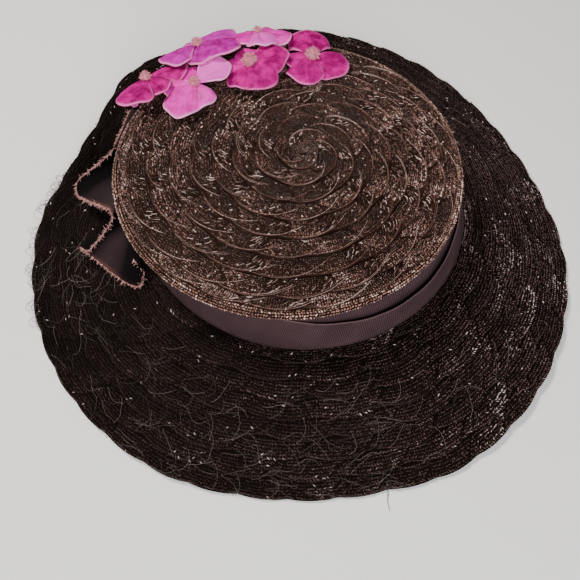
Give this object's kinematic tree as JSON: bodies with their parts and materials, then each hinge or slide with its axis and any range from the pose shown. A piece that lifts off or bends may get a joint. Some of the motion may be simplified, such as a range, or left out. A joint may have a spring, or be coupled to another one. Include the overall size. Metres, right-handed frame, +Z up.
{
  "type": "tilt hat",
  "caption": "Wide-brimmed straw tilt hat with a low round crown, ribbon band, pleated ribbon end and velvet blossoms; rests on its drooping rim.",
  "frame": {"origin": "on the floor under the middle of the hat's box, the hat resting on its rim", "axes": "+Z up through the crown, -Y to the front of the brim, -X to the side of the ribbon end"},
  "size_m": [0.3242, 0.3282, 0.086],
  "materials": {
    "crown_straw": "sewn straw braid, satin",
    "brim_straw": "sewn straw braid, satin with bright strands",
    "grosgrain": "ribbed ribbon, dull",
    "velvet_magenta": "velvet",
    "velvet_violet": "velvet",
    "velvet_pale": "velvet",
    "stamen_plush": "chenille"
  },
  "bodies": {
    "root": {"crown": "crown_straw", "brim": "brim_straw", "hat_band": "grosgrain", "ribbon_bow": "grosgrain", "blossom_1": "velvet_magenta", "blossom_2": "velvet_violet", "blossom_3": "velvet_pale", "blossom_4": "velvet_pale", "blossom_5": "velvet_magenta", "blossom_6": "velvet_magenta", "stamen_1": "stamen_plush", "stamen_2": "stamen_plush", "stamen_3": "stamen_plush", "stamen_4": "stamen_plush", "stamen_5": "stamen_plush", "stamen_6": "stamen_plush"}
  },
  "joints": []
}
